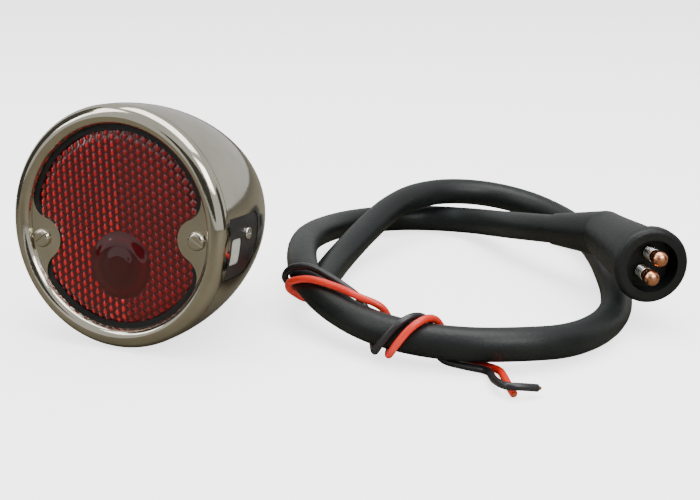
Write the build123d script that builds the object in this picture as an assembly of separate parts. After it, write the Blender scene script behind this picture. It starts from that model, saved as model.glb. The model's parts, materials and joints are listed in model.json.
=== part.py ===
from build123d import *
from math import asin, ceil, cos, degrees, hypot, pi, radians, sin, sqrt, tan
import os

# A round, bowl-backed tail lamp that lies on its side, and its loose two-contact plug lead beside it.
# The lamp is drawn upright on its own axis: X across, Y from the bezel's front to the back, Z up.
# It is then rolled and tilted so that it lies on the surface at z = 0.  The lead is drawn in place.

# ---- lamp body ----
lamp_r = 52.0            # bezel and drum, outside
lamp_depth = 84.0        # bezel's front to the drum's flat back
belly_r = 130.0          # long curve of the drum's side
belly_start = 8.0        # where that curve is widest
back_corner_r = 6.0      # round between the side and the flat back
drum_wall = 1.0
lay_tilt = 4.9           # the back lies this many degrees lower than the face
lay_roll = -4.8          # turn about the lamp's own axis

# ---- bezel ----
bezel_depth = 5.7        # front crest to the skirt's end
bezel_sheet = 1.0
rim_roll_r = 5.2         # rolled outer rim
seam_gap = 0.3           # skirt's end to the drum's edge
opening_r = 43.3         # clear opening
flange_front = 3.3       # front of the inner flange and of the ears
ear_x = 38.2             # screw centre, from the axis
ear_z = -5.1
ear_r = 9.2
ear_flare_r = 8.5        # hollow flanks of the ears
lip_clearance = 0.3      # drum's locating lip inside the skirt

# ---- lens ----
gasket_t = 0.8
gasket_show = 2.2        # gasket seen inside the bezel's opening
lens_t = 3.0
lens_crown = 1.0
lens_clearance = 3.2     # lens edge to the drum's lip
bullseye_r = 14.5
bullseye_z = -16.2
bullseye_rise = 0.6

# ---- bezel screws ----
screw_r = 2.0
screw_head_r = 4.0
screw_head_h = 2.0
screw_reach = 12.0       # shank below the head
screw_clearance = 0.2
slot_w = 0.9
nut_af = 7.0
nut_t = 2.8
thread_clearance = 0.05
lug_front = 11.0
lug_t = 1.5
lug_w = 12.0
lug_reach = 5.0          # lug beyond the screw, towards the axis

# ---- reflector ----
reflector_front = 16.0
reflector_t = 0.8
reflector_mouth_r = 45.0
reflector_floor_r = 28.0
reflector_depth = 28.0
wall_clearance = 0.4

# ---- bulb holder ----
socket_front = 47.0
socket_bore_r = 7.75
socket_wall = 0.8
ferrule_front = 70.0
ferrule_bore_r = 8.7
ferrule_wall = 0.9
ferrule_mouth_r = 8.9        # the plug insert's seat
ferrule_mouth_len = 10.0
ferrule_stand_out = 14.0     # behind the drum's back
socket_flange_r = 14.0
socket_flange_t = 1.2
rivet_r = 1.2
rivet_x = 12.0
rivet_z = 3.0                # above the holder's axis

# ---- bulb ----
bulb_clearance = 0.35        # base in the holder
bulb_base_front = 50.0
bulb_base_len = 16.0
bulb_glass_r = 9.5
bulb_glass_len = 27.0
bayonet_pin_r = 1.0
bayonet_pin_at = 6.0         # behind the base's front
bulb_push = 2.0
bulb_turn = 20.0
slot_clearance = 0.3
disc_t = 2.2
contact_gap = 0.1

# ---- side window ----
window_s0 = 7.4
window_s1 = 39.0
window_top = 3.2
window_bottom = -22.5
window_corner_r = 15.0         # low corner at the back
window_small_r = 5.0
pane_s1 = 18.6
pane_top = -5.4
pane_bottom = -16.6
window_inset = 0.35          # frame below the drum's skin
window_frame_t = 2.2
window_fit = 0.25
window_screw_s = 24.5
window_screw_z = -4.6
window_screw_r = 1.3
window_head_r = 2.5

# ---- rear fixings ----
stud_r = 3.0
stud_neck_r = 4.4             # fills the hole in the drum
stud_x = 12.0
stud_z = 9.0
stud_head_r = 5.2
stud_head_t = 2.4
stud_reach = 19.0            # behind the drum's back
pad_t = 2.0
pad_r = 24.0
pad_low = 2.5
pad_hole_r = 5.4             # lets a spacer on the stud reach the drum

# ---- plug ----
face_at = Vector(205.2, 60.1, 30.5)      # centre of the cup's front face
cup_heading = 123.3                      # way from the face to the back, degrees from +X
cup_r = 17.0
cup_lip_r = 2.4
cup_straight = 7.0                       # face to the end of the lip
cup_body_r = 14.6                        # just behind the lip
cup_waist = 45.0                         # face to the narrow part
cup_waist_r = 11.9
elbow_at = 57.0                          # face to the corner of the centre line
elbow_r = 11.2
neck_at = Vector(145.0, 128.0, 25.0)     # centre of the neck's end
neck_r = 8.0
recess_r = 11.8
recess_depth = 22.0
plate_depth = 9.0                        # face to the contact plate
plate_t = 4.0
plate_fit = 0.05
contact_pitch = 9.0
contact_lean = 22.0                      # contact line off the vertical, degrees
ball_r = 3.7
ball_stand = 3.0                         # ball centre in front of the face
stem_r = 1.2
stem_fit = 0.1
contact_travel = 3.0
collar_t = 1.2
spring_wire_r = 0.45

# ---- cords ----
loom_d = 14.3
wire_d = 3.2
wrap_r = 9.9             # centre of a wrapped wire from the loom's centre
wrap_step = 45.0         # largest turn between two points of a wrapped wire, degrees
core_r = 0.75
core_reach = 1.6

loom_route = [
    (145, 128, 25), (123.2, 143.3, 20.8), (103, 167, 14.5), (83, 187, 9.5), (58, 192, 7.5), (37, 181, 8.2),
    (23, 158, 10), (20, 130, 13), (24, 100, 17), (32, 71, 21), (43, 43, 22.8), (57, 17, 20.5), (77, -2, 16),
    (100, -14, 12.5), (124, -19, 11.3), (147, -17, 11.3), (167, -6, 10.8), (181, 12, 8.2), (189, 36, 7.2),
    (190, 63, 7.2), (184, 91, 7.2), (175, 119, 7.2), (165, 146, 7.8), (152, 172, 10), (133, 194, 13.5),
    (109, 208, 17.5), (84, 209, 21), (63, 196, 23.4), (51, 175, 23.6), (46, 151, 21.3), (44, 127, 16.5),
    (43, 101, 11), (45, 74, 7.7), (51, 46, 7.2)]
red_start = [(52.8, 46.35, 7.2), (54, 38, 5.6), (53.5, 27, 5.6)]
red_turns = [
    (10.95, -50), (11.2, 5), (11.7, 60), (12.3, 92), (12.7, 95), (13.05, 130), (13.25, 200), (13.5, 275),
    (13.85, 360), (14.2, 450), (14.42, 540), (14.6, 600)]
red_tail = [(147, -11.6, 1.7), (158.6, -14.1, 1.7), (163, -21.5, 1.7), (167.5, -30.5, 1.7), (171.7, -37.9, 1.7)]
black_start = [(49.3, 45.6, 7.2), (50.2, 38.5, 5.6), (46.8, 30.5, 6)]
black_turns = [
    (10.65, -45), (11.05, 35), (11.4, 85), (11.9, 108), (12.2, 114), (12.6, 180), (13.05, 250), (13.3, 290),
    (13.6, 360), (13.95, 450), (14.2, 540), (14.42, 610)]
black_tail = [
    (146, -16.8, 1.7), (155.6, -17.6, 1.7), (159.5, -26, 2.2), (163.5, -34, 4), (169.3, -40.4, 5.3),
    (175.3, -37.6, 5), (179.6, -32.6, 3.4)]


def slab(outline, start, end):
    """An outline in X and Z, made solid from one place on the lamp's axis to another."""
    return extrude(Plane.XZ.offset(-start) * outline, -(end - start))


def rod(radius, start, end, x=0.0, z=0.0):
    return slab(Pos(x, z) * Circle(radius), start, end)


def pipe(outer, inner, start, end, x=0.0, z=0.0):
    return rod(outer, start, end, x, z) - rod(inner, start - 1, end + 1, x, z)


def block(x0, x1, start, end, z0, z1):
    return Pos((x0 + x1) / 2, (start + end) / 2, (z0 + z1) / 2) * Box(x1 - x0, end - start, z1 - z0)


def turned(points):
    """A closed outline of radius and place on the axis, turned round the lamp's axis."""
    return revolve(make_face(Polyline(*points, close=True)), Axis.Y)


def hexagon(across_flats, start, end, x, z, bore):
    outline = RegularPolygon(across_flats / 2, 6, major_radius=False) - Circle(bore)
    return slab(Pos(x, z) * outline, start, end)


def side_r(place, inset=0.0):
    """Radius of the drum's side at a place on the axis."""
    bend = belly_r - inset
    return lamp_r - belly_r + sqrt(bend ** 2 - (place - belly_start) ** 2)


def bowl(inset, front):
    """Everything inside the drum's skin, set in by a distance, behind a place on the axis."""
    back = lamp_depth - inset
    middle = (front + back) / 2
    edges = [
        Line((0, front), (side_r(front, inset), front)),
        ThreePointArc((side_r(front, inset), front), (side_r(middle, inset), middle), (side_r(back, inset), back)),
        Line((side_r(back, inset), back), (0, back)),
        Line((0, back), (0, front))]
    outline = make_face(edges)
    corner = outline.vertices().sort_by(Axis.Y)[-2:].sort_by(Axis.X)[-1]
    outline = fillet(corner, max(back_corner_r - inset, 1.0))
    return revolve(outline, Axis.Y)


# ---- shared places ----
drum_front = bezel_depth + seam_gap
flange_back = flange_front + bezel_sheet
lens_front = flange_back + gasket_t
lip_r = lamp_r - bezel_sheet - lip_clearance
lip_inner_r = lip_r - drum_wall + 0.2
lens_r = lip_inner_r - lens_clearance
holder_z = bullseye_z
ferrule_r = ferrule_bore_r + ferrule_wall
ferrule_back = lamp_depth + ferrule_stand_out
back_inside = lamp_depth - drum_wall
pad_back = lamp_depth + pad_t
base_back = bulb_base_front + bulb_base_len
disc_front = base_back + 1.0
plate_front = lamp_depth
nut_front = lug_front + lug_t


def opening_outline(inset=0.0):
    """The bezel's opening, with its two ears, drawn in by a distance."""
    ears = Pos(ear_x, ear_z) * Circle(ear_r + inset) + Pos(-ear_x, ear_z) * Circle(ear_r + inset)
    outline = Circle(opening_r - inset) - ears
    return fillet(outline.vertices(), ear_flare_r - inset)


def make_bezel():
    crest_r = lamp_r - rim_roll_r
    outer_mid = rim_roll_r * sin(radians(45))
    inner_roll = rim_roll_r - bezel_sheet
    inner_mid = inner_roll * sin(radians(45))
    skin_r = lamp_r - bezel_sheet
    edges = [
        Line((skin_r, bezel_depth), (lamp_r, bezel_depth)),
        Line((lamp_r, bezel_depth), (lamp_r, rim_roll_r)),
        ThreePointArc((lamp_r, rim_roll_r), (crest_r + outer_mid, rim_roll_r - outer_mid), (crest_r, 0)),
        ThreePointArc((crest_r, 0), (opening_r + 1.5, 0.8), (opening_r + 0.4, 2.4)),
        Line((opening_r + 0.4, 2.4), (opening_r, flange_front)),
        Line((opening_r, flange_front), (opening_r, flange_back)),
        Line((opening_r, flange_back), (opening_r + 1.3, flange_back)),
        Line((opening_r + 1.3, flange_back), (opening_r + 1.5, 2.6)),
        ThreePointArc((opening_r + 1.5, 2.6), (opening_r + 2.2, 1.5), (crest_r, bezel_sheet)),
        ThreePointArc(
            (crest_r, bezel_sheet), (crest_r + inner_mid, rim_roll_r - inner_mid), (skin_r, rim_roll_r)),
        Line((skin_r, rim_roll_r), (skin_r, bezel_depth))]
    rim = revolve(make_face(edges), Axis.Y)
    ears = slab(Circle(opening_r + 0.6) - opening_outline(), flange_front, flange_back)
    holes = [rod(screw_r + screw_clearance, 0, 10, side * ear_x, ear_z) for side in (-1, 1)]
    return (rim + ears) - holes


def window_region(grow=0.0):
    """Block through the drum's right side, as large as the side window and its frame."""
    flat = Pos((window_s0 + window_s1) / 2, (window_top + window_bottom) / 2) * Rectangle(
        window_s1 - window_s0 + 2 * grow, window_top - window_bottom + 2 * grow)
    low_rear, high_rear = flat.vertices().sort_by(Axis.X)[-2:].sort_by(Axis.Y)
    flat = fillet(low_rear, window_corner_r + grow)
    high_rear = flat.vertices().sort_by(Axis.Y)[-2:].sort_by(Axis.X)[-1]
    flat = fillet(high_rear, window_small_r + grow)
    return Pos(20, 0, 0) * extrude(Plane.YZ * flat, 60)


def pane_region(grow=0.0):
    outline = Plane.YZ * (
        Pos((window_s0 + 2 + pane_s1) / 2, (pane_top + pane_bottom) / 2)
        * RectangleRounded(pane_s1 - window_s0 - 2 + 2 * grow, pane_top - pane_bottom + 2 * grow, 1.6))
    return Pos(20, 0, 0) * extrude(outline, 60)


def make_drum():
    shell = bowl(0, drum_front) - bowl(drum_wall, drum_front - 1)
    step = pipe(side_r(drum_front, drum_wall) + 0.2, lip_inner_r, drum_front, drum_front + 2)
    lip = pipe(lip_r, lip_inner_r, drum_front - 1.6, drum_front + 0.1)
    body = shell + step + lip
    body -= window_region(window_fit)
    body -= rod(ferrule_r + wall_clearance, back_inside - 2, lamp_depth + 2, 0, holder_z)
    for side in (-1, 1):
        body -= rod(stud_neck_r + screw_clearance, back_inside - 2, lamp_depth + 2, side * stud_x, stud_z)
        body -= rod(rivet_r + thread_clearance, back_inside - 2, lamp_depth + 2,
                    side * rivet_x, holder_z + rivet_z)
    return body


def screw_notches(radius, start, end):
    """Slots that the bezel screws pass through, open at the lens's edge."""
    cuts = []
    for side in (-1, 1):
        cuts.append(rod(radius, start, end, side * ear_x, ear_z))
        edge = sorted((side * ear_x, side * (lens_r + 2)))
        cuts.append(block(edge[0], edge[1], start, end, ear_z - radius, ear_z + radius))
    return cuts


def make_gasket():
    ring = slab(Circle(lens_r) - opening_outline(gasket_show), flange_back, lens_front)
    return ring - screw_notches(screw_r + 0.8, flange_back - 1, lens_front + 1)


def make_lens():
    """Pressed glass: a flat rim, a low crown and the round bull's-eye in front of the bulb."""
    crown_r = opening_r - gasket_show - 0.6
    crown_front = lens_front - lens_crown
    crown = rod(crown_r, crown_front, lens_front + 0.1)
    crown = chamfer(crown.edges().sort_by(Axis.Y)[0], 0.8 * lens_crown, 5 * lens_crown)
    crown = crown & slab(opening_outline(gasket_show + 0.6), 0, lens_front + 1)
    glass = rod(lens_r, lens_front, lens_front + lens_t) + crown
    bullseye = rod(bullseye_r, crown_front - bullseye_rise, lens_front + 1, 0, bullseye_z)
    bullseye = fillet(bullseye.edges().sort_by(Axis.Y)[0], 0.8 * bullseye_rise)
    return (glass + bullseye) - screw_notches(screw_r + 0.8, 0, 20)


def make_bezel_screws():
    screws = []
    for side in (-1, 1):
        head = rod(screw_head_r, flange_front - screw_head_h, flange_front, side * ear_x, ear_z)
        head = fillet(head.edges().sort_by(Axis.Y)[0], screw_head_h * 0.8)
        shank = rod(screw_r, flange_front - 0.5, flange_front + screw_reach, side * ear_x, ear_z)
        slot = Pos(side * ear_x, flange_front - screw_head_h, ear_z) * Rot(0, 35 * side, 0)
        screws.append((head + shank) - slot * Box(3 * screw_head_r, 1.8, slot_w))
    return screws


def make_lugs():
    """Two sheet lugs that carry the bezel's nuts: one on the drum, one on the window's frame."""
    low, high = ear_z - lug_w / 2, ear_z + lug_w / 2
    lugs = []
    for side in (-1, 1):
        x0, x1 = sorted((side * (ear_x - lug_reach), side * lamp_r))
        behind = drum_wall + 0.1 if side < 0 else window_inset + window_frame_t + 0.1
        foot = block(x0, x1, lug_front, reflector_front - 0.6, low, high) - bowl(behind + 1.3, lug_front - 2)
        lug = block(x0, x1, lug_front, nut_front, low, high) + foot
        lug = lug & bowl(behind, lug_front - 2)
        lugs.append(lug - rod(screw_r + screw_clearance, 0, 30, side * ear_x, ear_z))
    return lugs


def make_lug_nuts():
    places = [(side * ear_x, ear_z) for side in (-1, 1)]
    return [hexagon(nut_af, nut_front, nut_front + nut_t, x, z, screw_r + thread_clearance) for x, z in places]


def make_reflector():
    front = reflector_front
    floor = reflector_front + reflector_depth
    rim_r = side_r(front + 1, drum_wall) - wall_clearance
    t = reflector_t
    middle = ((reflector_mouth_r + reflector_floor_r) / 2 + 3.5, front + reflector_depth / 2 + 2)
    edges = [
        Line((0, floor), (reflector_floor_r, floor)),
        ThreePointArc((reflector_floor_r, floor), middle, (reflector_mouth_r, front)),
        Line((reflector_mouth_r, front), (rim_r, front)),
        Line((rim_r, front), (rim_r, front + t)),
        Line((rim_r, front + t), (reflector_mouth_r + t, front + t)),
        ThreePointArc(
            (reflector_mouth_r + t, front + t), (middle[0] + t, middle[1] + t),
            (reflector_floor_r + t / 2, floor + t)),
        Line((reflector_floor_r + t / 2, floor + t), (0, floor + t)),
        Line((0, floor + t), (0, floor))]
    dish = revolve(make_face(edges), Axis.Y)
    dish -= rod(bulb_glass_r + 0.8, front - 2, floor + 4, 0, holder_z)
    light_way = block(26, lamp_r, front - 2, window_s1, window_bottom, window_top)
    return dish - light_way


def make_socket():
    """Bayonet shell, the wider plug ferrule behind it and the flange that is riveted to the drum."""
    shell = pipe(socket_bore_r + socket_wall, socket_bore_r, socket_front, ferrule_front + 1, 0, holder_z)
    ferrule = pipe(ferrule_r, ferrule_bore_r, ferrule_front + 1, ferrule_back, 0, holder_z)
    step = pipe(ferrule_r, socket_bore_r, ferrule_front, ferrule_front + 1, 0, holder_z)
    flange = pipe(socket_flange_r, ferrule_bore_r, back_inside - socket_flange_t, back_inside, 0, holder_z)
    flange = flange & bowl(drum_wall + 0.15, back_inside - 6)
    flange = flange - [
        rod(rivet_r + thread_clearance, 70, 90, side * rivet_x, holder_z + rivet_z) for side in (-1, 1)]
    ferrule -= rod(ferrule_mouth_r, ferrule_back - ferrule_mouth_len, ferrule_back + 1, 0, holder_z)
    body = shell + ferrule + step + (flange & rod(60, back_inside - socket_flange_t, back_inside))
    pin_at = bulb_base_front + bayonet_pin_at
    width = 2 * (bayonet_pin_r + slot_clearance)
    for turn in range(0, int(bulb_turn) + 1, 5):
        mouth = socket_front - 1 if turn == int(bulb_turn) else pin_at - width / 2
        end = pin_at + bulb_push + width / 2
        cut = Pos(0, (mouth + end) / 2, 0) * Box(4 * socket_bore_r, end - mouth, width)
        body -= Pos(0, 0, holder_z) * Rot(0, turn, 0) * cut
    return body


def make_rivets():
    rivets = []
    for side in (-1, 1):
        x, z = side * rivet_x, holder_z + rivet_z
        inner = back_inside - socket_flange_t
        rivet = rod(rivet_r, inner - 0.8, lamp_depth + 0.8, x, z)
        rivet += rod(1.7 * rivet_r, inner - 0.8, inner, x, z)
        rivet += rod(1.7 * rivet_r, lamp_depth, lamp_depth + 0.8, x, z)
        rivets.append(rivet)
    return rivets


def make_bulb_base():
    base_r = socket_bore_r - bulb_clearance
    cap = pipe(base_r, base_r - 0.5, bulb_base_front, base_back - 1, 0, holder_z)
    cap += rod(base_r, base_back - 2.5, base_back, 0, holder_z)
    pin_at = bulb_base_front + bayonet_pin_at
    pin = Pos(0, pin_at, holder_z) * Rot(0, 90, 0) * Cylinder(bayonet_pin_r, 2 * (socket_bore_r + 0.6))
    cap += pin - rod(base_r - 0.3, pin_at - 3, pin_at + 3, 0, holder_z)
    for side in (-1, 1):
        cap += rod(1.4, base_back - 0.5, disc_front - contact_gap, side * 3.2, holder_z)
    return cap


def make_bulb_glass():
    """Thin round-ended envelope with its stem."""
    neck_r = socket_bore_r - bulb_clearance - 0.8
    tip = bulb_base_front - bulb_glass_len
    round_at = tip + bulb_glass_r
    neck_at_s = bulb_base_front - 6

    def outline(inset):
        r = bulb_glass_r - inset
        return make_face([
            Line((0, tip + inset), (0, bulb_base_front + 8)),
            Line((0, bulb_base_front + 8), (neck_r - inset, bulb_base_front + 8)),
            Line((neck_r - inset, bulb_base_front + 8), (neck_r - inset, neck_at_s)),
            Line((neck_r - inset, neck_at_s), (r, neck_at_s - 6)),
            Line((r, neck_at_s - 6), (r, round_at)),
            ThreePointArc(
                (r, round_at), (r * cos(pi / 4), round_at - r * sin(pi / 4)), (0, round_at - r))])
    envelope = revolve(outline(0), Axis.Y) - revolve(outline(0.7), Axis.Y)
    stem = rod(2.2, neck_at_s + 2, bulb_base_front + 8, 0, 0)
    return Pos(0, 0, holder_z) * (envelope + rod(neck_r, bulb_base_front + 7, bulb_base_front + 8) + stem)


def make_filaments():
    """Two filaments on their lead wires, one for the tail and one for the stop light."""
    legs = []
    top = bulb_base_front - bulb_glass_len + bulb_glass_r
    for place, height in ((-2.4, top), (2.4, top + 5)):
        hoop = rod(0.3, height, bulb_base_front - 3.9, place, holder_z - 1.5)
        hoop += rod(0.3, height, bulb_base_front - 3.9, place, holder_z + 1.5)
        hoop += block(place - 0.3, place + 0.3, height, height + 0.6, holder_z - 1.8, holder_z + 1.8)
        legs.append(hoop)
    return legs


def make_contact_disc():
    disc = rod(socket_bore_r - 0.2, disc_front, disc_front + disc_t, 0, holder_z)
    return disc - [rod(1.25, disc_front - 1, disc_front + 5, side * 3.2, holder_z) for side in (-1, 1)]


def make_disc_contacts():
    return [rod(1.2, disc_front, disc_front + disc_t + 1.5, side * 3.2, holder_z) for side in (-1, 1)]


def coil(radius, wire_r, length, turns):
    """A compression spring that stands on z = 0."""
    rise = length - 2 * wire_r
    path = Pos(0, 0, wire_r) * Helix(pitch=rise / turns, height=rise, radius=radius)
    section = Plane(path @ 0, z_dir=path % 0) * Circle(wire_r)
    return sweep(section, path=path, is_frenet=True)


def make_socket_spring():
    start = disc_front + disc_t + 0.1
    length = plate_front - start - 0.2
    spring = coil(5.6, 0.45, length, 5)
    return Pos(0, start, holder_z) * Rot(-90, 0, 0) * spring


def contact_offset():
    """Half the distance between the contacts, along the line they lie on."""
    lean = radians(contact_lean)
    return (contact_pitch / 2 * sin(lean), contact_pitch / 2 * cos(lean))


def make_socket_insulator():
    body = rod(ferrule_bore_r - 0.1, plate_front, plate_front + 3.5, 0, holder_z)
    dx, dz = contact_offset()
    return body - [rod(1.65, 80, 90, side * dx, holder_z + side * dz) for side in (-1, 1)]


def make_socket_terminals():
    dx, dz = contact_offset()
    return [
        rod(1.6, plate_front, plate_front + 4.0, side * dx, holder_z + side * dz) for side in (-1, 1)]


def make_window_frame():
    ring = bowl(window_inset, drum_front) - bowl(window_inset + window_frame_t, drum_front - 1)
    frame = (ring & window_region()) - pane_region()
    return frame - window_screw_hole()


def window_screw_place():
    r = side_r(window_screw_s)
    angle = degrees(asin(window_screw_z / r))
    return Pos(0, window_screw_s, 0) * Rot(0, -angle, 0) * Pos(r, 0, 0) * Rot(0, 90, 0)


def window_screw_hole():
    shank = Pos(0, 0, -5) * Cylinder(window_screw_r + 0.15, 20)
    seat = Cylinder(window_head_r + 0.15, 5, align=(Align.CENTER, Align.CENTER, Align.MIN))
    return window_screw_place() * (shank + Pos(0, 0, -0.7) * seat)


def make_window_glass():
    sheet = bowl(window_inset + 0.5, drum_front) - bowl(window_inset + 1.9, drum_front - 1)
    return sheet & pane_region(-0.15)


def make_window_screw():
    head = Pos(0, 0, 0.05) * Cylinder(window_head_r, 1.5)
    head = fillet(head.edges().sort_by(Axis.Z)[-1], 0.5)
    head -= Pos(0, 0, 0.8) * Box(0.7, 8, 0.8) + Pos(0, 0, 0.8) * Box(8, 0.7, 0.8)
    shank = Pos(0, 0, -3.4) * Cylinder(window_screw_r, 6.4)
    return window_screw_place() * (head + shank)


def make_window_clip():
    """Spring sheet behind the frame, which the window screw draws up against the drum."""
    start = window_inset + window_frame_t
    sheet = bowl(start + 0.1, drum_front) - bowl(start + 1.0, drum_front - 1)
    outline = Plane.YZ * (
        Pos((pane_s1 + window_s1) / 2 + 1, (window_top + window_bottom) / 2)
        * RectangleRounded(window_s1 - pane_s1 - 4, window_top - window_bottom - 3, 2.0))
    return (sheet & (Pos(20, 0, 0) * extrude(outline, 60))) - window_screw_hole()


def make_studs():
    studs = []
    for side in (-1, 1):
        head = rod(stud_head_r, back_inside - stud_head_t, back_inside, side * stud_x, stud_z)
        head = head & bowl(drum_wall + 0.2, back_inside - 10)
        neck = rod(stud_neck_r, back_inside - 1, lamp_depth, side * stud_x, stud_z)
        studs.append(head + neck + rod(stud_r, back_inside - 1, lamp_depth + stud_reach, side * stud_x, stud_z))
    return studs


def make_pad():
    """Rubber pad between the drum and whatever carries the lamp."""
    outline = Circle(pad_r) & (Pos(0, pad_low + pad_r) * Rectangle(2 * pad_r, 2 * pad_r))
    outline = fillet(outline.vertices(), 2.0)
    outline -= [Pos(side * stud_x, stud_z) * Circle(pad_hole_r) for side in (-1, 1)]
    return slab(outline, lamp_depth, pad_back)


# ---- plug ----
cup_back = Vector(cos(radians(cup_heading)), sin(radians(cup_heading)), 0)
cup_plane = Plane(face_at, x_dir=(cup_back.Y, -cup_back.X, 0), z_dir=cup_back)
elbow = face_at + cup_back * elbow_at


def along_cup(shape, depth=0.0):
    """Put a shape that is drawn round the Z axis into the cup, at a depth behind the face."""
    return cup_plane.location * Pos(0, 0, depth) * shape


def make_boot():
    """Moulded rubber: a thick-lipped cup that narrows, bends and tapers to the neck over the loom."""
    front = Cylinder(cup_r, cup_straight, align=(Align.CENTER, Align.CENTER, Align.MIN))
    front = fillet(front.edges().sort_by(Axis.Z)[0], cup_lip_r)
    front = fillet(front.edges().filter_by(GeomType.CIRCLE).sort_by(Axis.Z)[-1], 1.6)
    outline = make_face([
        Line((0, cup_straight / 2), (cup_body_r, cup_straight / 2)),
        Line((cup_body_r, cup_straight / 2), (cup_body_r, cup_straight)),
        Spline((cup_body_r, cup_straight), ((cup_body_r + cup_waist_r) / 2 + 0.3, (cup_straight + cup_waist) / 2),
               (cup_waist_r, cup_waist), (elbow_r, elbow_at), tangents=((-0.01, 1), (-0.03, 1))),
        Line((elbow_r, elbow_at), (0, elbow_at)),
        Line((0, elbow_at), (0, cup_straight / 2))])
    body = Rot(90, 0, 0) * revolve(outline, Axis.Y)
    way = neck_at - elbow
    cone = Plane(elbow, z_dir=way).location * Cone(
        elbow_r, neck_r, way.length, align=(Align.CENTER, Align.CENTER, Align.MIN))
    boot = along_cup(front + body) + Pos(*elbow) * Sphere(elbow_r) + cone
    recess = Cylinder(recess_r, recess_depth + 1, align=(Align.CENTER, Align.CENTER, Align.MIN))
    return boot - along_cup(recess, -1)


def contact_places():
    dx, dz = contact_offset()
    return [(dx, -dz), (-dx, dz)]


def make_plate():
    plate = Cylinder(recess_r - plate_fit, plate_t, align=(Align.CENTER, Align.CENTER, Align.MIN))
    for x, y in contact_places():
        hole = Pos(x, y, -1) * Cylinder(stem_r + stem_fit, plate_t + 2, align=(Align.CENTER, Align.CENTER, Align.MIN))
        plate -= hole
    return along_cup(plate, plate_depth)


def make_contact(x, y):
    """Round-nosed copper contact on a stem that slides through the plate."""
    ball = Pos(0, 0, -ball_stand) * Sphere(ball_r)
    collar = Pos(0, 0, ball_r - ball_stand - 0.9) * Cylinder(
        ball_r * 0.8, collar_t, align=(Align.CENTER, Align.CENTER, Align.MIN))
    stem = Cylinder(stem_r, plate_depth + plate_t + 4, align=(Align.CENTER, Align.CENTER, Align.MIN))
    return along_cup(Pos(x, y, 0) * (ball + collar + stem))


def make_contact_spring(x, y):
    start = ball_r - ball_stand - 0.9 + collar_t + 0.05
    spring = coil(ball_r - 0.5 - spring_wire_r, spring_wire_r, plate_depth - start - 0.05, 5)
    return along_cup(Pos(x, y, start) * spring)


# ---- cords ----
def tube_path(points):
    """Straight runs joined by arcs as large as the shorter run beside each corner allows."""
    places = [Vector(*p) for p in points]
    radii = []
    for before, corner, after in zip(places, places[1:], places[2:]):
        turn = radians((corner - before).get_angle(after - corner))
        shorter = min((corner - before).length, (after - corner).length)
        radii.append(0.45 * shorter / tan(turn / 2))
    return FilletPolyline(*places, radius=radii), radii


def make_tube(name, points, diameter):
    path, radii = tube_path(points)
    section = Plane(path @ 0, z_dir=path % 0) * Circle(diameter / 2)
    tube = sweep(section, path=path)
    share = tube.volume / (pi * diameter ** 2 / 4 * path.length)
    print(f"{name}: {path.length:.1f} mm, radii {min(radii):.1f} to {max(radii):.0f} mm, volume share {share:.4f}")
    return tube


def loom_at(place):
    """Centre and heading of the loom at a place counted in points of its route."""
    index = int(place + 0.5)
    share = place - index + 0.5
    before, corner, after = [Vector(*p) for p in loom_route[index - 1:index + 2]]
    start = (before + corner) * 0.5
    end = (corner + after) * 0.5
    centre = start * (1 - share) ** 2 + corner * (2 * share * (1 - share)) + end * share ** 2
    heading = (corner - start) * (1 - share) + (end - corner) * share
    return centre, heading.normalized()


def wraps(turns):
    """Points of a wire round the loom, from places on the loom and angles round it.

    The angle is 0 on the loom's outer side, 90 on top, 180 inside and 270 underneath."""
    stations = []
    for (place, angle), (next_place, next_angle) in zip(turns, turns[1:]):
        steps = max(1, ceil((next_angle - angle) / wrap_step))
        for step in range(steps):
            share = step / steps
            stations.append((place + (next_place - place) * share, angle + (next_angle - angle) * share))
    stations.append(turns[-1])
    points = []
    for place, angle in stations:
        centre, heading = loom_at(place)
        outward = Vector(heading.Y, -heading.X, 0).normalized()
        up = outward.cross(heading)
        turned_out = outward * cos(radians(angle)) + up * sin(radians(angle))
        points.append(tuple(centre + turned_out * wrap_r))
    return points


def make_core(points):
    """Bare copper end of a wire."""
    last, end = Vector(*points[-2]), Vector(*points[-1])
    return Pos(*end) * Plane((0, 0, 0), z_dir=end - last).location * Cylinder(
        core_r, core_reach, align=(Align.CENTER, Align.CENTER, Align.MIN))


def solids_of(shape):
    """Every solid of a shape or of a list of shapes."""
    shapes = shape if isinstance(shape, list) else [shape]
    return [solid for item in shapes for solid in item.solids()]


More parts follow.
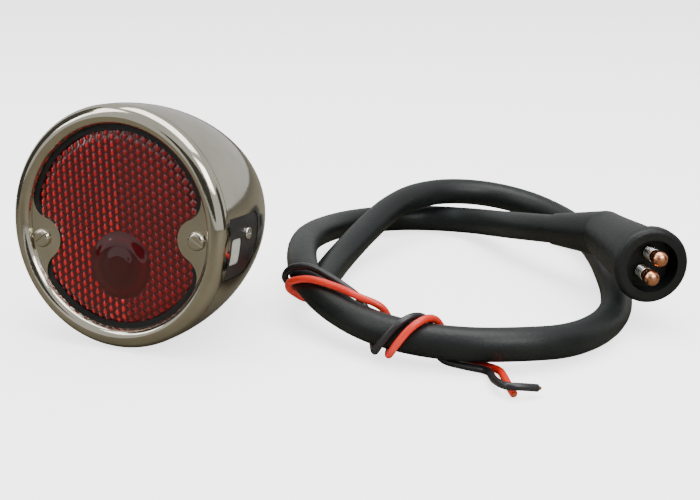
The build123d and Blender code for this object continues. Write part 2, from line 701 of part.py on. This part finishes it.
if __name__ == "__main__":
    os.makedirs("parts", exist_ok=True)
    lamp = {
        "drum": make_drum(),
        "bezel": make_bezel(),
        "gasket": make_gasket(),
        "lens": make_lens(),
        "bezel_screws": make_bezel_screws(),
        "bezel_lugs": make_lugs(),
        "lug_nuts": make_lug_nuts(),
        "reflector": make_reflector(),
        "socket_shell": make_socket(),
        "socket_rivets": make_rivets(),
        "bulb_base": make_bulb_base(),
        "bulb_glass": make_bulb_glass(),
        "bulb_filaments": make_filaments(),
        "contact_disc": make_contact_disc(),
        "disc_contacts": make_disc_contacts(),
        "socket_spring": make_socket_spring(),
        "socket_insulator": make_socket_insulator(),
        "socket_terminals": make_socket_terminals(),
        "window_frame": make_window_frame(),
        "window_glass": make_window_glass(),
        "window_screw": make_window_screw(),
        "window_clip": make_window_clip(),
        "mount_studs": make_studs(),
        "mount_pad": make_pad()}
    lay = Rot(-lay_tilt, 0, 0) * Rot(0, lay_roll, 0)
    lamp = {name: solids_of(shape) for name, shape in lamp.items()}
    laid = {name: [lay * solid for solid in solids] for name, solids in lamp.items()}
    box = Compound(children=[solid for solids in laid.values() for solid in solids]).bounding_box()
    shift = Pos(-(box.min.X + box.max.X) / 2, -(box.min.Y + box.max.Y) / 2, -box.min.Z)
    print(f"lamp's size {box.size}, its front centre at {shift.position}")

    red_points = red_start + wraps(red_turns) + red_tail
    black_points = black_start + wraps(black_turns) + black_tail
    wires = {
        "wire_red": make_tube("red wire", red_points, wire_d),
        "wire_black": make_tube("black wire", black_points, wire_d)}
    lead = {
        "plug_boot": make_boot(),
        "plug_plate": make_plate(),
        "contact_a": make_contact(*contact_places()[0]),
        "contact_b": make_contact(*contact_places()[1]),
        "contact_spring_a": make_contact_spring(*contact_places()[0]),
        "contact_spring_b": make_contact_spring(*contact_places()[1]),
        "loom": make_tube("loom", loom_route, loom_d),
        "wire_cores": [make_core(red_points), make_core(black_points)]}
    pieces = {name: [shift * solid for solid in solids] for name, solids in laid.items()}
    pieces.update({name: solids_of(shape) for name, shape in {**lead, **wires}.items()})
    for name, solids in pieces.items():
        print(f"{name}: {len(solids)} solids, {sum(solid.volume for solid in solids):.0f} mm3")
        export_step(Compound(children=solids), f"parts/{name}.step")
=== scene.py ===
import json
from math import ceil, cos, pi, radians, sin, sqrt

import bmesh
import bpy
from mathutils import Matrix, Vector


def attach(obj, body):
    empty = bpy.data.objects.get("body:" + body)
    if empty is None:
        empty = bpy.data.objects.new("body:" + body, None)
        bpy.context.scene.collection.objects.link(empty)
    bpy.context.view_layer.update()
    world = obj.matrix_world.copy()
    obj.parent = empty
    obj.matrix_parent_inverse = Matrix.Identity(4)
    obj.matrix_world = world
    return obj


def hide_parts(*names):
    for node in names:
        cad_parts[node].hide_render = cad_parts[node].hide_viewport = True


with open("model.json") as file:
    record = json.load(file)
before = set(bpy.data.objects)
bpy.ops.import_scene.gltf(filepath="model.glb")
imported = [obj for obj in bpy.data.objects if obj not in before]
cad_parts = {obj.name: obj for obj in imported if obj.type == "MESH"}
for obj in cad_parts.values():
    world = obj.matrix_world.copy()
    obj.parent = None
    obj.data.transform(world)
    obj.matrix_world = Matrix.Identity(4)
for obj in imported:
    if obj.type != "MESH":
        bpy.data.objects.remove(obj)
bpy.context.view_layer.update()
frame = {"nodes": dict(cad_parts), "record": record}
print("frame loaded")

mm = 0.001


cameraSizes = {
    "lens": 66.86, "clipStart": 0.01, "place": (0.2977, -0.4949, 0.1897), "turn": (74.5, 0, 23.088)}
cameraData = bpy.data.cameras.new("camera")
cameraData.lens = cameraSizes["lens"]
cameraData.clip_start = cameraSizes["clipStart"]
camera = bpy.data.objects.new("camera", cameraData)
camera.location = cameraSizes["place"]
camera.rotation_euler = [radians(angle) for angle in cameraSizes["turn"]]
bpy.context.scene.collection.objects.link(camera)
bpy.context.scene.camera = camera

loomSizes = {"diameter": 14.3, "sides": 10, "steps": 14}
wireSizes = {"diameter": 3.2, "sides": 6, "steps": 10, "wrapRadius": 9.9, "wrapStep": 45.0}

loomRoute = [
    (145, 128, 25), (123.2, 143.3, 20.8), (103, 167, 14.5), (83, 187, 9.5), (58, 192, 7.5), (37, 181, 8.2),
    (23, 158, 10), (20, 130, 13), (24, 100, 17), (32, 71, 21), (43, 43, 22.8), (57, 17, 20.5), (77, -2, 16),
    (100, -14, 12.5), (124, -19, 11.3), (147, -17, 11.3), (167, -6, 10.8), (181, 12, 8.2), (189, 36, 7.2),
    (190, 63, 7.2), (184, 91, 7.2), (175, 119, 7.2), (165, 146, 7.8), (152, 172, 10), (133, 194, 13.5),
    (109, 208, 17.5), (84, 209, 21), (63, 196, 23.4), (51, 175, 23.6), (46, 151, 21.3), (44, 127, 16.5),
    (43, 101, 11), (45, 74, 7.7), (51, 46, 7.2)]
redStart = [(52.8, 46.35, 7.2), (54, 38, 5.6), (53.5, 27, 5.6)]
redTurns = [
    (10.95, -50), (11.2, 5), (11.7, 60), (12.3, 92), (12.7, 95), (13.05, 130), (13.25, 200), (13.5, 275),
    (13.85, 360), (14.2, 450), (14.42, 540), (14.6, 600)]
redTail = [
    (147, -11.6, 1.7), (158.6, -14.1, 1.7), (163, -21.5, 1.7), (167.5, -30.5, 1.7), (171.7, -37.9, 1.7)]
blackStart = [(49.3, 45.6, 7.2), (50.2, 38.5, 5.6), (46.8, 30.5, 6)]
blackTurns = [
    (10.65, -45), (11.05, 35), (11.4, 85), (11.9, 108), (12.2, 114), (12.6, 180), (13.05, 250), (13.3, 290),
    (13.6, 360), (13.95, 450), (14.2, 540), (14.42, 610)]
blackTail = [
    (146, -16.8, 1.7), (155.6, -17.6, 1.7), (159.5, -26, 2.2), (163.5, -34, 4), (169.3, -40.4, 5.3),
    (175.3, -37.6, 5), (179.6, -32.6, 3.4)]


# Centre and heading of the loom at a place counted in points of its route.
def loomAt(place):
    index = int(place + 0.5)
    share = place - index + 0.5
    before, corner, after = [Vector(p) for p in loomRoute[index - 1:index + 2]]
    start = (before + corner) / 2
    end = (corner + after) / 2
    centre = start * (1 - share) ** 2 + corner * (2 * share * (1 - share)) + end * share ** 2
    heading = (corner - start) * (1 - share) + (end - corner) * share
    return centre, heading.normalized()


# Points of a wire that is wound round the loom, from places along it and angles round it.
def wraps(turns):
    stations = []
    for (place, angle), (nextPlace, nextAngle) in zip(turns, turns[1:]):
        steps = max(1, ceil((nextAngle - angle) / wireSizes["wrapStep"]))
        for step in range(steps):
            share = step / steps
            stations.append((place + (nextPlace - place) * share, angle + (nextAngle - angle) * share))
    stations.append(turns[-1])
    points = []
    for place, angle in stations:
        centre, heading = loomAt(place)
        outward = Vector((heading.y, -heading.x, 0)).normalized()
        up = outward.cross(heading)
        around = outward * cos(radians(angle)) + up * sin(radians(angle))
        points.append(tuple(centre + around * wireSizes["wrapRadius"]))
    return points


# One open curve with a round section that follows the route's own points.
def smoothCord(name, points, sizes):
    data = bpy.data.curves.new(name, "CURVE")
    data.dimensions = "3D"
    spline = data.splines.new("NURBS")
    spline.points.add(len(points) - 1)
    for point, place in zip(spline.points, points):
        point.co = (place[0] * mm, place[1] * mm, place[2] * mm, 1)
    spline.order_u = 3
    spline.use_endpoint_u = True
    spline.resolution_u = sizes["steps"]
    data.bevel_depth = sizes["diameter"] * mm / 2
    data.bevel_resolution = sizes["sides"]
    data.use_fill_caps = True
    cord = bpy.data.objects.new(name, data)
    bpy.context.scene.collection.objects.link(cord)
    return cord


# Length of a cord's centre line, in metres.
def curveLength(cord):
    depth = cord.data.bevel_depth
    cord.data.bevel_depth = 0
    bpy.context.view_layer.update()
    line = bpy.data.meshes.new_from_object(cord.evaluated_get(bpy.context.evaluated_depsgraph_get()))
    ends = [[line.vertices[index].co for index in edge.vertices] for edge in line.edges]
    total = sum((first - second).length for first, second in ends)
    bpy.data.meshes.remove(line)
    cord.data.bevel_depth = depth
    return total


redPoints = redStart + wraps(redTurns) + redTail
blackPoints = blackStart + wraps(blackTurns) + blackTail
loom = smoothCord("loomTube", loomRoute, loomSizes)
redWire = smoothCord("redWire", redPoints, wireSizes)
blackWire = smoothCord("blackWire", blackPoints, wireSizes)
print("cords made")


noiseSpan = {"low": 0.35, "high": 0.65}


# Soft noise as one value, stretched from 0 to 1.
def maskGroup(name, scale, detail):
    tree = bpy.data.node_groups.new(name, "ShaderNodeTree")
    tree.interface.new_socket("Vector", in_out="INPUT", socket_type="NodeSocketVector")
    tree.interface.new_socket("Value", in_out="OUTPUT", socket_type="NodeSocketFloat")
    inside = tree.nodes.new("NodeGroupInput")
    outside = tree.nodes.new("NodeGroupOutput")
    noise = tree.nodes.new("ShaderNodeTexNoise")
    noise.inputs["Scale"].default_value = scale
    noise.inputs["Detail"].default_value = detail
    spread = tree.nodes.new("ShaderNodeMapRange")
    spread.inputs["From Min"].default_value = noiseSpan["low"]
    spread.inputs["From Max"].default_value = noiseSpan["high"]
    tree.links.new(inside.outputs[0], noise.inputs["Vector"])
    tree.links.new(noise.outputs[0], spread.inputs["Value"])
    tree.links.new(spread.outputs[0], outside.inputs[0])
    return tree


smudges = maskGroup("smudges", 60, 5)
grain = maskGroup("grain", 900, 3)
patches = maskGroup("patches", 18, 3)
surfaceMix = {"broadShare": 0.6, "fineShare": 0.4, "bumpDepth": 0.0002, "ior": 1.5}


# Principled surface whose colour, roughness and height follow procedural masks.
def surface(name, colour, secondColour, metal, roughLow, roughHigh, bump, pattern,
            transmission=0.0, coat=0.0, specular=0.5):
    made = bpy.data.materials.new(name)
    made.use_nodes = True
    tree = made.node_tree
    nodes, links = tree.nodes, tree.links
    shader = nodes["Principled BSDF"]
    where = nodes.new("ShaderNodeTexCoord")
    broad = nodes.new("ShaderNodeGroup")
    broad.node_tree = pattern
    small = nodes.new("ShaderNodeGroup")
    small.node_tree = grain
    links.new(where.outputs["Object"], broad.inputs[0])
    links.new(where.outputs["Object"], small.inputs[0])
    mix = nodes.new("ShaderNodeMix")
    mix.data_type = "RGBA"
    mix.inputs["A"].default_value = (*colour, 1)
    mix.inputs["B"].default_value = (*secondColour, 1)
    links.new(broad.outputs[0], mix.inputs["Factor"])
    links.new(mix.outputs["Result"], shader.inputs["Base Color"])
    both = nodes.new("ShaderNodeMath")
    both.operation = "MULTIPLY_ADD"
    both.inputs[1].default_value = surfaceMix["broadShare"]
    links.new(broad.outputs[0], both.inputs[0])
    scaled = nodes.new("ShaderNodeMath")
    scaled.operation = "MULTIPLY"
    scaled.inputs[1].default_value = surfaceMix["fineShare"]
    links.new(small.outputs[0], scaled.inputs[0])
    links.new(scaled.outputs[0], both.inputs[2])
    rough = nodes.new("ShaderNodeMapRange")
    rough.inputs["To Min"].default_value = roughLow
    rough.inputs["To Max"].default_value = roughHigh
    links.new(both.outputs[0], rough.inputs["Value"])
    links.new(rough.outputs[0], shader.inputs["Roughness"])
    height = nodes.new("ShaderNodeBump")
    height.inputs["Strength"].default_value = bump
    height.inputs["Distance"].default_value = surfaceMix["bumpDepth"]
    links.new(small.outputs[0], height.inputs["Height"])
    links.new(height.outputs[0], shader.inputs["Normal"])
    shader.inputs["Metallic"].default_value = metal
    shader.inputs["Transmission Weight"].default_value = transmission
    shader.inputs["Coat Weight"].default_value = coat
    shader.inputs["Specular IOR Level"].default_value = specular
    shader.inputs["IOR"].default_value = surfaceMix["ior"]
    return made


nickel = surface("nickel", (0.58, 0.55, 0.46), (0.50, 0.47, 0.38), 1.0, 0.06, 0.14, 0.02, smudges)
steel = surface("steel", (0.50, 0.50, 0.49), (0.40, 0.39, 0.37), 1.0, 0.28, 0.42, 0.08, smudges)
brightSheet = surface("brightSheet", (0.80, 0.80, 0.80), (0.70, 0.70, 0.70), 1.0, 0.12, 0.25, 0.03, smudges)
brass = surface("brass", (0.72, 0.55, 0.26), (0.55, 0.38, 0.16), 1.0, 0.25, 0.40, 0.05, smudges)
copper = surface("copper", (0.85, 0.42, 0.24), (0.66, 0.28, 0.14), 1.0, 0.16, 0.30, 0.05, smudges)
rubber = surface("rubber", (0.004, 0.005, 0.005), (0.009, 0.011, 0.0105), 0.0, 0.36, 0.50, 0.25, patches,
                 specular=0.32)
loomRubber = surface("loomRubber", (0.003, 0.0045, 0.0045), (0.008, 0.011, 0.0105), 0.0, 0.34, 0.48, 0.22,
                     patches, specular=0.34)
blackJacket = surface("blackJacket", (0.010, 0.010, 0.011), (0.020, 0.020, 0.021), 0.0, 0.25, 0.38, 0.05,
                      smudges)
redJacket = surface("redJacket", (0.66, 0.022, 0.010), (0.74, 0.036, 0.014), 0.0, 0.28, 0.40, 0.05, smudges)
enamel = surface("enamel", (0.012, 0.012, 0.012), (0.022, 0.021, 0.020), 0.0, 0.30, 0.45, 0.06, smudges)
fibre = surface("fibre", (0.16, 0.07, 0.035), (0.10, 0.045, 0.02), 0.0, 0.5, 0.7, 0.15, patches)
redGlass = surface("redGlass", (0.78, 0.012, 0.006), (0.66, 0.008, 0.004), 0.0, 0.05, 0.10, 0.0, smudges,
                   transmission=0.55)
clearGlass = surface("clearGlass", (0.92, 0.93, 0.90), (0.88, 0.90, 0.87), 0.0, 0.04, 0.08, 0.0, smudges,
                     transmission=0.9)
tungsten = surface("tungsten", (0.2, 0.2, 0.21), (0.3, 0.3, 0.3), 1.0, 0.4, 0.5, 0.1, smudges)
print("materials made")

slotLooks = {
    "nickel": nickel, "steel": steel, "red_glass": redGlass, "clear_glass": clearGlass, "rubber": rubber,
    "brass": brass, "fibre": fibre, "black_paint": enamel, "copper": copper, "reflective": brightSheet,
    "tungsten": tungsten, "red_rubber": redJacket, "black_rubber": blackJacket, "loom_rubber": loomRubber}
bright = surface("bright", (0.92, 0.92, 0.90), (0.85, 0.85, 0.83), 1.0, 0.14, 0.24, 0.02, smudges)
pale = surface("pale", (0.62, 0.62, 0.57), (0.50, 0.50, 0.45), 0.0, 0.10, 0.22, 0.02, smudges,
               transmission=0.25)
nodeLooks = {
    "contact_spring_a": bright, "contact_spring_b": bright, "window_screw": bright, "window_glass": pale}
for subpart in frame["record"]["subparts"]:
    node = frame["nodes"][subpart["node"]]
    for place in range(len(node.data.materials)):
        node.data.materials[place] = nodeLooks.get(subpart["node"], slotLooks[subpart["material_slot"]])

for cord, look, slotName, node in (
        (loom, loomRubber, "loom_rubber", "loom"), (redWire, redJacket, "red_rubber", "wire_red"),
        (blackWire, blackJacket, "black_rubber", "wire_black")):
    cord.data.materials.append(look)
    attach(cord, "lamp")
    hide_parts(node)

curveLength(loom)
curveLength(redWire)
curveLength(blackWire)


lampFront = {"y": -49.858, "z": 52.968, "tip": -4.9, "roll": -4.8}
lampPlace = (Matrix.Translation((0, lampFront["y"] * mm, lampFront["z"] * mm))
             @ Matrix.Rotation(radians(lampFront["tip"]), 4, "X")
             @ Matrix.Rotation(radians(lampFront["roll"]), 4, "Y"))


# Turns a mesh drawn in millimetres into a finished piece in the row's frame.
def addPiece(name, shape, look, body):
    bmesh.ops.transform(shape, matrix=lampPlace @ Matrix.Scale(mm, 4), verts=shape.verts)
    bmesh.ops.recalc_face_normals(shape, faces=shape.faces)
    data = bpy.data.meshes.new(name)
    shape.to_mesh(data)
    shape.free()
    data.shade_smooth()
    data.materials.append(look)
    piece = bpy.data.objects.new(name, data)
    bpy.context.scene.collection.objects.link(piece)
    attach(piece, body)
    return piece


# Lens sizes; the eye, left and right strengths below are painted sheen and painted highlight, put into the
# glass colour.
lensSizes = {
    "radius": 46.4, "cells": 300, "front": 5.1, "crown": 1.0, "crownRadius": 41.4, "back": 8.1,
    "column": 3.1, "row": 3.5, "dotHeight": 0.55, "bullseyeRadius": 14.5, "bullseyeZ": -16.2,
    "dome": 1.9, "notchX": 38.2, "notchZ": -5.1, "notchRadius": 2.9, "crownSlope": 4.0,
    "eyeWaves": 5, "waveHeight": 0.08, "eyePaintedSheen": 0.06, "glassGlow": 0.06, "rimGlow": 0.1,
    "ovalAcross": 1.45, "ovalAlong": 1.02, "diamondReach": 1.15, "dotSlope": 1.6,
    "leftPaintedHighlight": 0.95, "rightPaintedHighlight": 0.30, "rightPaintedHighlightRise": 0.25, "gainLow": -10, "gainHigh": 35}


def smoothStep(low, high, value):
    share = min(1.0, max(0.0, (value - low) / (high - low)))
    return share * share * (3 - 2 * share)


# How far a point lies inside the nearest prism, from 0 at its edge to 1 at its middle.
def dotAt(x, z):
    sizes = lensSizes
    best = 0.0
    column = round(x / sizes["column"])
    for near in (column - 1, column, column + 1):
        offset = 0.5 * sizes["row"] if near % 2 else 0.0
        middle = round((z - offset) / sizes["row"]) * sizes["row"] + offset
        across = abs(x - near * sizes["column"]) / (0.5 * sizes["column"])
        along = abs(z - middle) / (0.5 * sizes["row"])
        if near <= 0:
            inside = 1.0 - sqrt((across * sizes["ovalAcross"]) ** 2 + (along * sizes["ovalAlong"]) ** 2)
        else:
            inside = 1.0 - (across + along) / sizes["diamondReach"]
        best = max(best, inside)
    return best


# Place of the lens's front face on the lamp's axis, and the brightness painted into its glass there: the
# glass's own tone plus painted highlights on the prisms and painted sheen rings on the bullseye.
def lensFront(x, z):
    sizes = lensSizes
    r = sqrt(x * x + z * z)
    face = sizes["front"]
    if r < sizes["crownRadius"]:
        face -= sizes["crown"] * min(1.0, (sizes["crownRadius"] - r) / sizes["crownSlope"])
    fromEye = sqrt(x * x + (z - sizes["bullseyeZ"]) ** 2)
    eye = sizes["bullseyeRadius"]
    if fromEye < eye:
        wave = fromEye / eye * sizes["eyeWaves"] * pi
        face -= sizes["dome"] * (1 - (fromEye / eye) ** 2) - sizes["waveHeight"] * sin(wave)
        # Painted sheen: light rings painted into the colour of the bullseye's outer part.
        ring = 0.5 + 0.5 * cos(wave)
        return face, sizes["eyePaintedSheen"] * ring * smoothStep(eye * 0.45, eye * 0.8, fromEye)
    dot = dotAt(x, z) if r < sizes["crownRadius"] else 0.0
    edge = smoothStep(0.02, 0.55, dot) * smoothStep(sizes["crownRadius"], sizes["crownRadius"] - 1.5, r)
    face -= sizes["dotHeight"] * min(1.0, dot * sizes["dotSlope"]) * smoothStep(eye, eye + 1, fromEye)
    # Painted highlight: prisms on the left half are painted bright, those on the right dimmer and a little
    # brighter towards the top.
    strength = sizes["leftPaintedHighlight"]
    if x >= 0.5 * sizes["column"]:
        strength = sizes["rightPaintedHighlight"] + sizes["rightPaintedHighlightRise"] * smoothStep(sizes["gainLow"], sizes["gainHigh"], z)
    return face, sizes["glassGlow"] + edge * strength


def makeLens():
    sizes = lensSizes
    glass = bmesh.new()
    bmesh.ops.create_grid(glass, x_segments=sizes["cells"], y_segments=sizes["cells"], size=sizes["radius"])
    gone = []
    for vert in glass.verts:
        x, z = vert.co.x, vert.co.y
        besideNotch = abs(x) > sizes["notchX"] and abs(z - sizes["notchZ"]) < sizes["notchRadius"]
        inNotch = sqrt((abs(x) - sizes["notchX"]) ** 2 + (z - sizes["notchZ"]) ** 2) < sizes["notchRadius"]
        if sqrt(x * x + z * z) > sizes["radius"] or besideNotch or inNotch:
            gone.append(vert)
    bmesh.ops.delete(glass, geom=gone, context="VERTS")
    loose = [vert for vert in glass.verts if not vert.link_faces]
    bmesh.ops.delete(glass, geom=loose, context="VERTS")
    # Each point stores its glass tone plus painted highlight, which later picks its colour.
    glow = glass.verts.layers.float.new("lensToneAndPaintedHighlight")
    for vert in glass.verts:
        x, z = vert.co.x, vert.co.y
        face, brightness = lensFront(x, z)
        vert.co = (x, face, z)
        vert[glow] = brightness
    border = [edge for edge in glass.edges if edge.is_boundary]
    drawn = bmesh.ops.extrude_edge_only(glass, edges=border)["geom"]
    for vert in (item for item in drawn if isinstance(item, bmesh.types.BMVert)):
        vert.co.y = sizes["back"]
        vert[glow] = sizes["rimGlow"]
    rim = [edge for edge in glass.edges if edge.is_boundary]
    bmesh.ops.contextual_create(glass, geom=rim)
    lens = addPiece("lensGlass", glass, lensLook(), "lamp")
    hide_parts("lens")


# Colours from the glass's dark red tone up to its painted prism highlight, with an uneven spread of that
# painted highlight.
prismToneAndPaintedHighlight = {
    "low": (0.030, 0.0010, 0.0020), "middle": (0.20, 0.004, 0.006), "high": (0.62, 0.012, 0.016),
    "middleAt": 0.45, "dimmest": 0.55, "brightest": 1.1}


# Deep red glass whose prism highlights are painted into its colour by the mask stored on the mesh.
def lensLook():
    made = surface("prismGlass", (0.5, 0.01, 0.01), (0.4, 0.01, 0.01), 0.0, 0.06, 0.14, 0.02, smudges,
                   transmission=0.12, coat=0.35)
    tree = made.node_tree
    shader = tree.nodes["Principled BSDF"]
    # Painted highlight: the stored brightness, spread unevenly by noise, picks the colour from dark to bright
    # red.
    glow = tree.nodes.new("ShaderNodeAttribute")
    glow.attribute_name = "lensToneAndPaintedHighlight"
    where = tree.nodes.new("ShaderNodeTexCoord")
    cloud = tree.nodes.new("ShaderNodeGroup")
    cloud.node_tree = patches
    tree.links.new(where.outputs["Object"], cloud.inputs[0])
    uneven = tree.nodes.new("ShaderNodeMapRange")
    uneven.inputs["To Min"].default_value = prismToneAndPaintedHighlight["dimmest"]
    uneven.inputs["To Max"].default_value = prismToneAndPaintedHighlight["brightest"]
    tree.links.new(cloud.outputs[0], uneven.inputs["Value"])
    strength = tree.nodes.new("ShaderNodeMath")
    strength.operation = "MULTIPLY"
    tree.links.new(glow.outputs["Fac"], strength.inputs[0])
    tree.links.new(uneven.outputs[0], strength.inputs[1])
    ramp = tree.nodes.new("ShaderNodeValToRGB")
    ramp.color_ramp.elements[0].color = (*prismToneAndPaintedHighlight["low"], 1)
    ramp.color_ramp.elements[1].color = (*prismToneAndPaintedHighlight["high"], 1)
    middle = ramp.color_ramp.elements.new(prismToneAndPaintedHighlight["middleAt"])
    middle.color = (*prismToneAndPaintedHighlight["middle"], 1)
    tree.links.new(strength.outputs[0], ramp.inputs[0])
    tree.links.new(ramp.outputs[0], shader.inputs["Base Color"])
    return made


makeLens()
print("lens made")


def stagePlane(name, size, place, turn, look):
    sheet = bmesh.new()
    bmesh.ops.create_grid(sheet, x_segments=1, y_segments=1, size=0.5)
    data = bpy.data.meshes.new(name)
    sheet.to_mesh(data)
    sheet.free()
    data.materials.append(look)
    plane = bpy.data.objects.new(name, data)
    plane.scale = (size[0], size[1], 1)
    plane.location = place
    plane.rotation_euler = [radians(a) for a in turn]
    bpy.context.scene.collection.objects.link(plane)


def plainLook(name, colour, roughness):
    made = bpy.data.materials.new(name)
    made.use_nodes = True
    shader = made.node_tree.nodes["Principled BSDF"]
    shader.inputs["Base Color"].default_value = (*colour, 1)
    shader.inputs["Roughness"].default_value = roughness
    return made


floorTints = {"seen": (0.93, 0.93, 0.93), "mirrored": (0.13, 0.115, 0.08), "roughness": 0.7, "glow": 2.2}


# White to the eye; an olive-grey table in what the metal mirrors.
def floorLook():
    made = plainLook("paleFloor", floorTints["seen"], floorTints["roughness"])
    tree = made.node_tree
    path = tree.nodes.new("ShaderNodeLightPath")
    tint = tree.nodes.new("ShaderNodeMix")
    tint.data_type = "RGBA"
    tint.inputs["A"].default_value = (*floorTints["seen"], 1)
    tint.inputs["B"].default_value = (*floorTints["mirrored"], 1)
    tree.nodes["Principled BSDF"].inputs["Emission Color"].default_value = (1, 1, 1, 1)
    seen = tree.nodes.new("ShaderNodeMath")
    seen.operation = "MULTIPLY"
    seen.inputs[1].default_value = floorTints["glow"]
    tree.links.new(path.outputs["Is Camera Ray"], seen.inputs[0])
    tree.links.new(seen.outputs[0], tree.nodes["Principled BSDF"].inputs["Emission Strength"])
    tree.links.new(path.outputs["Is Glossy Ray"], tint.inputs["Factor"])
    tree.links.new(tint.outputs["Result"], tree.nodes["Principled BSDF"].inputs["Base Color"])
    return made


stagePlane("floor", (8, 8), (0, 0, 0), (0, 0, 0), floorLook())
cardLook = plainLook("darkCard", (0.03, 0.028, 0.022), 0.8)
stagePlane("leftCard", (0.6, 0.7), (-0.6, -0.2, 0.35), (90, 0, 70), cardLook)
stagePlane("frontCard", (0.9, 0.5), (0.15, -1.0, 0.35), (80, 0, 8), cardLook)
stagePlane("rightCard", (0.5, 0.5), (0.9, 0.25, 0.25), (90, 0, -80), cardLook)


def areaLight(name, size, power, place, aim):
    data = bpy.data.lights.new(name, "AREA")
    data.shape = "RECTANGLE"
    data.size, data.size_y = size
    data.energy = power
    lamp = bpy.data.objects.new(name, data)
    lamp.location = place
    lamp.rotation_euler = (Vector(aim) - Vector(place)).to_track_quat("-Z", "Y").to_euler()
    bpy.context.scene.collection.objects.link(lamp)


areaLight("topLight", (1.2, 0.8), 16, (0.1, 0.1, 1.1), (0.08, 0.02, 0))
areaLight("keyLight", (0.7, 0.5), 9, (0.9, -0.5, 0.8), (0.08, 0.05, 0.04))
areaLight("fillLight", (0.5, 0.8), 6, (-0.8, -0.5, 0.7), (0.0, 0.0, 0.05))
world = bpy.data.worlds.new("studio")
world.use_nodes = True
world.node_tree.nodes["Background"].inputs["Color"].default_value = (1, 1, 1, 1)
world.node_tree.nodes["Background"].inputs["Strength"].default_value = 0.75
bpy.context.scene.world = world
print("stage made")
